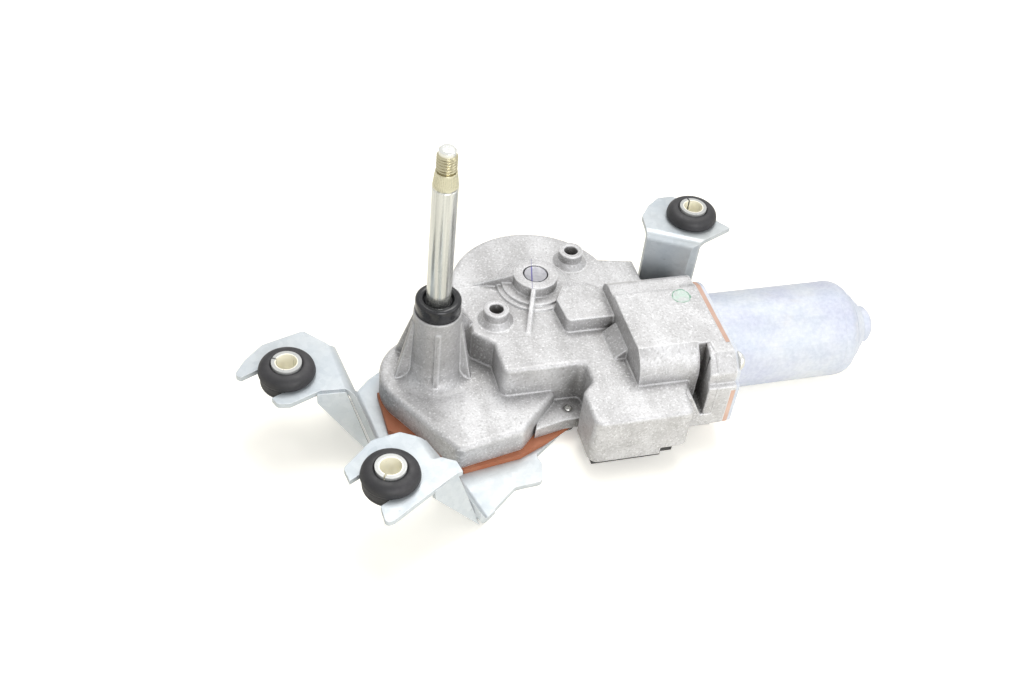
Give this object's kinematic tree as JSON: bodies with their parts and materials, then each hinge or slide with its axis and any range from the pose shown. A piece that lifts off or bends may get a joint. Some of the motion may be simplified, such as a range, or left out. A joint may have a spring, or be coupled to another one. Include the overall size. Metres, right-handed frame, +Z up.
{
  "type": "wiper motor",
  "caption": "Geared electric wiper motor: ribbed die-cast housing, tall output spindle, three-armed bracket with rubber cushions and a plated motor can.",
  "frame": {"origin": "where the spindle's axis meets the underside of the bracket plate", "axes": "+Z up the spindle towards its threaded end, +X towards the motor can, +Y away from the connector box"},
  "size_m": [0.2787, 0.1567, 0.1324],
  "materials": {
    "cast_aluminium": "as cast",
    "zinc_steel": "zinc plated",
    "can_steel": "zinc plated",
    "spindle_steel": "ground",
    "screw_steel": "plated",
    "gear_steel": "oiled",
    "bronze": "sintered",
    "copper": "enamelled",
    "wheel_plastic": "moulded",
    "black_rubber": "moulded",
    "seal_rubber": "sheet",
    "ferrite": "sintered",
    "black_plastic": "moulded",
    "carbon": "pressed",
    "board": "laminate",
    "pin_brass": "tinned"
  },
  "bodies": {
    "body": {"gear_housing": "cast_aluminium", "mounting_bracket": "zinc_steel", "sleeve_left": "zinc_steel", "sleeve_front": "zinc_steel", "sleeve_rear": "zinc_steel", "motor_can": "can_steel", "can_screws": "screw_steel", "cover_screws": "screw_steel", "wheel_axle": "gear_steel", "wheel_clip": "gear_steel", "shaft_bush_upper": "bronze", "shaft_bush_lower": "bronze", "worm_bush": "bronze", "centre_bush": "bronze", "can_bush": "bronze", "grommet_left": "black_rubber", "grommet_front": "black_rubber", "grommet_rear": "black_rubber", "seal_cap": "black_rubber", "housing_gasket": "seal_rubber", "motor_gasket": "seal_rubber", "magnet_front": "ferrite", "magnet_rear": "ferrite", "connector_housing": "black_plastic", "brush_holder": "black_plastic", "brushes": "carbon", "circuit_board": "board", "connector_pins": "pin_brass"},
    "spindle": {"output_shaft": "spindle_steel", "output_pinion": "gear_steel", "thrust_washer": "gear_steel", "shaft_clip": "gear_steel"},
    "holder": {"holder_link": "gear_steel", "sector_pin": "gear_steel"},
    "sector": {"sector_gear": "gear_steel"},
    "wheel": {"worm_wheel": "wheel_plastic", "crank_pin": "gear_steel"},
    "armature": {"armature_shaft": "gear_steel", "armature_core": "gear_steel", "armature_winding": "copper", "commutator": "copper"}
  },
  "joints": [
    {"name": "armature_spin", "type": "hinge", "parent": "body", "child": "armature", "pos_m": [0.029, -0.0075, 0.0216], "axis": [1, 0, 0], "continuous": true},
    {"name": "wheel_spin", "type": "hinge", "parent": "body", "child": "wheel", "pos_m": [0.0504, 0.0298, 0.0216], "axis": [0, 0, 1], "continuous": true},
    {"name": "spindle_swing", "type": "hinge", "parent": "body", "child": "spindle", "pos_m": [0, 0, 0.0089], "axis": [0, 0, 1], "range_deg": [0, 118]},
    {"name": "holder_swing", "type": "hinge", "parent": "body", "child": "holder", "pos_m": [0, 0, 0.0052], "axis": [0, 0, 1], "range_deg": [0, 52]},
    {"name": "sector_swing", "type": "hinge", "parent": "holder", "child": "sector", "pos_m": [0.00469, -0.02583, 0.0089], "axis": [0, 0, 1], "range_deg": [-45, 0]}
  ],
  "couplings": [
    {"joint": "wheel_spin", "follows": "armature_spin", "ratio": 0.015152},
    {"joint": "holder_swing", "follows": "spindle_swing", "ratio": 0.44},
    {"joint": "sector_swing", "follows": "spindle_swing", "ratio": -0.3808}
  ]
}
